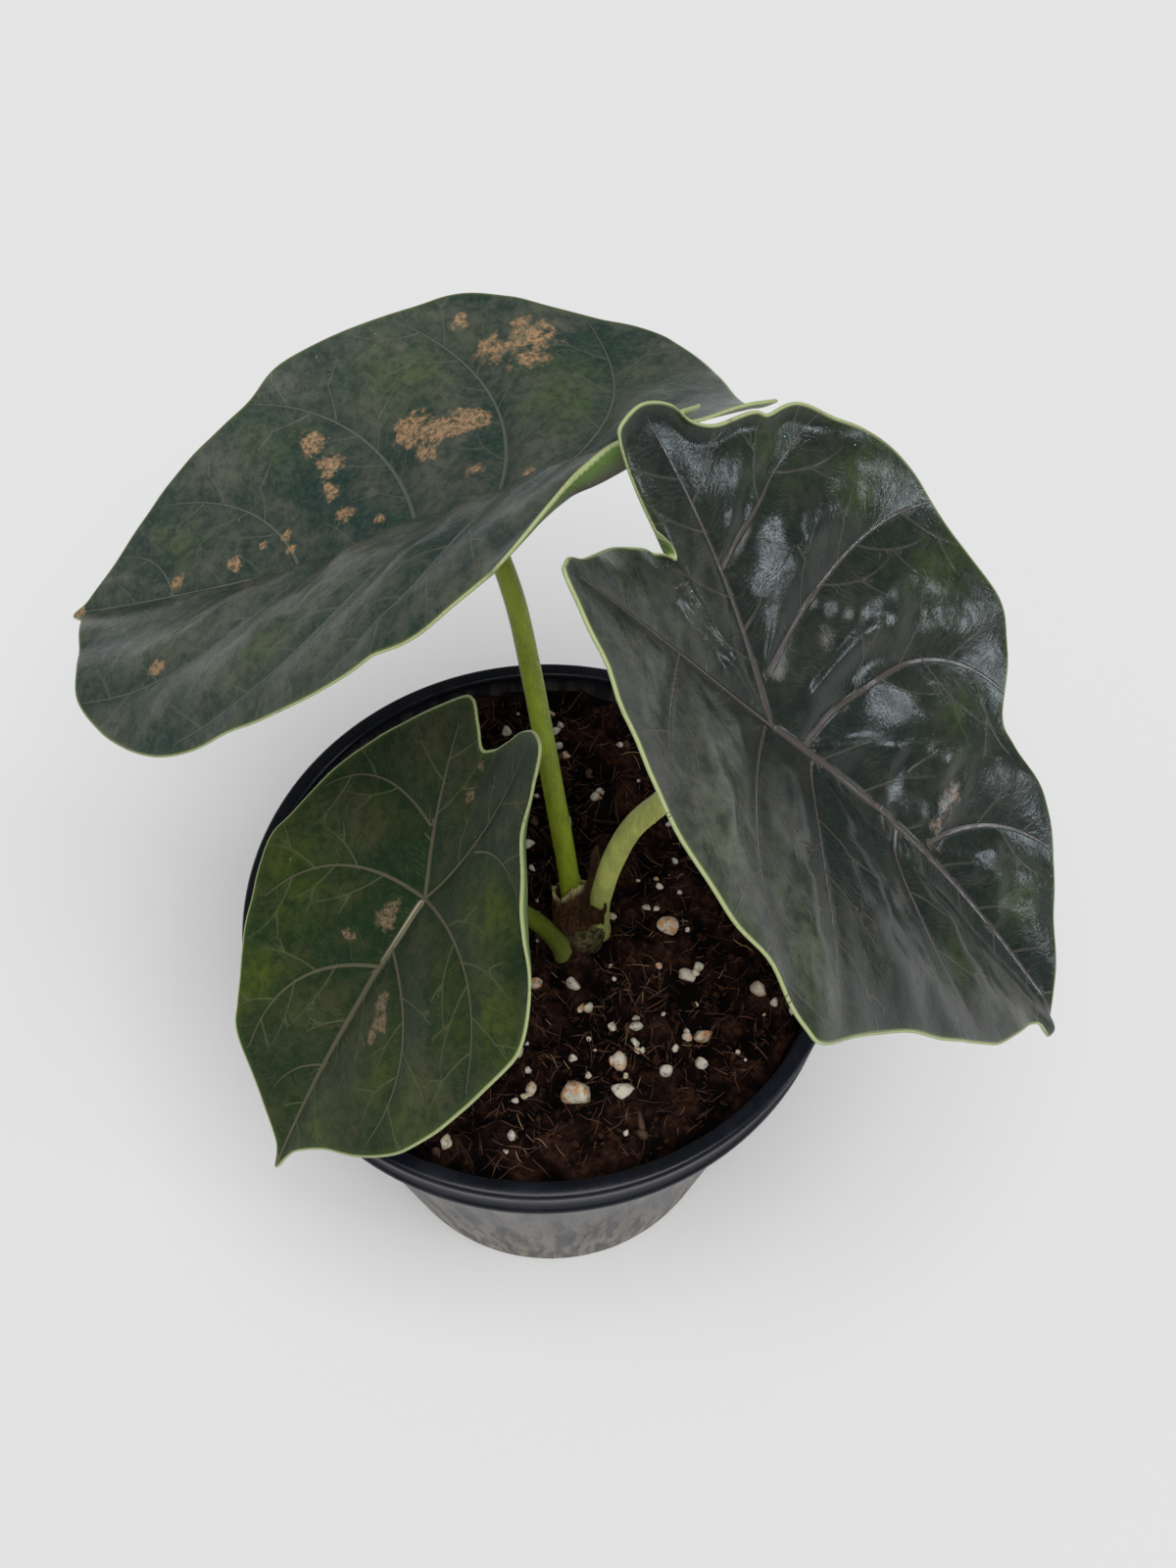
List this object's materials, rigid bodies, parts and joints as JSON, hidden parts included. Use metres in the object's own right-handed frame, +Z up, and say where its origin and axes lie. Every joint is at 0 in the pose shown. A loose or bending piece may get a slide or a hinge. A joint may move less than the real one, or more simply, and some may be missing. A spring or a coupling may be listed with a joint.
{
  "type": "potted alocasia azlanii",
  "caption": "Small house plant with dark, quilted, arrow-shaped leaves on upright green stalks, rooted in a round black nursery pot full of peat and perlite.",
  "frame": {"origin": "centre of the pot's base, on the surface it stands on", "axes": "+Z up out of the pot; +X and +Y level, with -Y towards the side where the lowest leaf hangs over the rim"},
  "size_m": [0.1874, 0.1627, 0.2546],
  "materials": {
    "pot": "gloss",
    "soil": "matte",
    "rhizome": "matte",
    "sheath": "matte",
    "stalk": "satin",
    "leaf": "satin"
  },
  "bodies": {
    "root": {"pot": "pot", "soil": "soil", "rhizome": "rhizome", "sheath": "sheath", "stalk_back": "stalk", "stalk_right": "stalk", "stalk_left": "stalk", "leaf_back": "leaf", "leaf_right": "leaf", "leaf_left": "leaf"}
  },
  "joints": []
}
